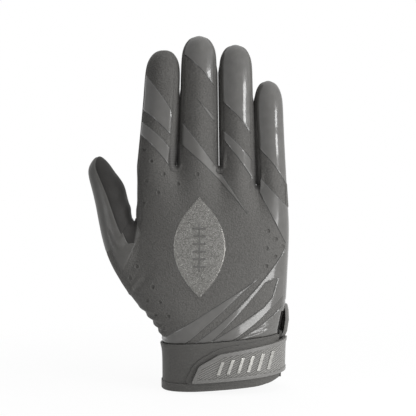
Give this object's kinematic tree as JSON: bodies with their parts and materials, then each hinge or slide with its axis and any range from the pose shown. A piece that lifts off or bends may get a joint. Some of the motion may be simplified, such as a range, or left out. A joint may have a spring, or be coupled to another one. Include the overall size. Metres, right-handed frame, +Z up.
{
  "type": "football glove",
  "caption": "Right-hand receiver's glove for American football, filled as if worn: sewn panels, hinged finger and thumb stalls, open cuff and a hook-and-loop wrist strap.",
  "frame": {"origin": "middle of the wrist opening at the lower edge of the cuff", "axes": "+Z up along the middle finger, -Y out of the back of the hand, -X towards the thumb"},
  "size_m": [0.136, 0.0537, 0.2339],
  "materials": {
    "matte_textile": "matte, fine moulded grain",
    "gloss_film": "glossy moulded film",
    "grip_palm": "tacky satin grip coating",
    "side_knit": "matte stretch knit",
    "cuff_knit": "matte smooth knit",
    "strap_rubber": "satin moulded rubber",
    "inlay_rubber": "satin, ribbed",
    "pile": "hook and loop pile",
    "silver_flake": "silver flake film"
  },
  "bodies": {
    "hand": {"back_panel": "matte_textile", "cuff_band": "cuff_knit", "cuff_hem": "cuff_knit", "emblem_film": "silver_flake", "fourchette_index_middle": "side_knit", "fourchette_middle_ring": "side_knit", "fourchette_ring_little": "side_knit", "index_edge_strip": "side_knit", "index_flex_sleeve": "matte_textile", "index_lower_band": "gloss_film", "knuckle_slash": "gloss_film", "little_edge_gloss": "gloss_film", "little_edge_strip": "side_knit", "little_flex_sleeve": "matte_textile", "little_root_gloss": "gloss_film", "loop_patch": "pile", "middle_flex_sleeve": "matte_textile", "middle_lower_band": "gloss_film", "palm_panel": "grip_palm", "ring_flex_sleeve": "matte_textile", "ring_lower_band": "gloss_film", "strap_root": "strap_rubber", "thumb_flash": "gloss_film", "thumb_flex_sleeve": "matte_textile", "thumb_root": "matte_textile", "wrist_slash_a": "gloss_film", "wrist_slash_b": "gloss_film", "wrist_slash_c": "gloss_film", "wrist_slash_d": "gloss_film"},
    "index_finger": {"index_back": "matte_textile", "index_gloss_band": "gloss_film", "index_little_side": "side_knit", "index_palm": "grip_palm", "index_thumb_side": "side_knit"},
    "middle_finger": {"middle_back": "matte_textile", "middle_gloss_tip": "gloss_film", "middle_little_side": "side_knit", "middle_palm": "grip_palm", "middle_thumb_side": "side_knit"},
    "ring_finger": {"ring_back": "matte_textile", "ring_gloss_tip": "gloss_film", "ring_little_side": "side_knit", "ring_palm": "grip_palm", "ring_thumb_side": "side_knit"},
    "little_finger": {"little_back": "matte_textile", "little_gloss_tip": "gloss_film", "little_little_side": "side_knit", "little_palm": "grip_palm", "little_thumb_side": "side_knit"},
    "thumb": {"thumb_back": "gloss_film", "thumb_palm": "grip_palm"},
    "strap": {"hook_patch": "pile", "strap_frame": "strap_rubber", "strap_inlay": "inlay_rubber", "strap_web": "cuff_knit"}
  },
  "joints": [
    {"name": "index_bend", "type": "hinge", "parent": "hand", "child": "index_finger", "pos_m": [-0.04248, -0.00004, 0.168], "axis": [-1, 0, 0], "range_deg": [0, 90], "stiffness_Nm_per_rad": 0.02, "deforming": ["index_flex_sleeve"]},
    {"name": "middle_bend", "type": "hinge", "parent": "hand", "child": "middle_finger", "pos_m": [-0.01639, -0.00009, 0.17], "axis": [-1, 0, 0], "range_deg": [0, 90], "stiffness_Nm_per_rad": 0.02, "deforming": ["middle_flex_sleeve"]},
    {"name": "ring_bend", "type": "hinge", "parent": "hand", "child": "ring_finger", "pos_m": [0.00904, 0.00006, 0.168], "axis": [-1, 0, 0], "range_deg": [0, 90], "stiffness_Nm_per_rad": 0.02, "deforming": ["ring_flex_sleeve"]},
    {"name": "little_bend", "type": "hinge", "parent": "hand", "child": "little_finger", "pos_m": [0.03163, -0.00007, 0.151], "axis": [-1, 0, 0], "range_deg": [0, 90], "stiffness_Nm_per_rad": 0.02, "deforming": ["little_flex_sleeve"]},
    {"name": "thumb_bend", "type": "hinge", "parent": "hand", "child": "thumb", "pos_m": [-0.0725, 0.00725, 0.10975], "axis": [-0.7782, 0.5832, -0.2331], "range_deg": [0, 45], "stiffness_Nm_per_rad": 0.02, "deforming": ["thumb_flex_sleeve"]},
    {"name": "strap_peel", "type": "hinge", "parent": "hand", "child": "strap", "pos_m": [0.04265, 0, 0.01866], "axis": [0, 0, 1], "range_deg": [0, 150]}
  ]
}
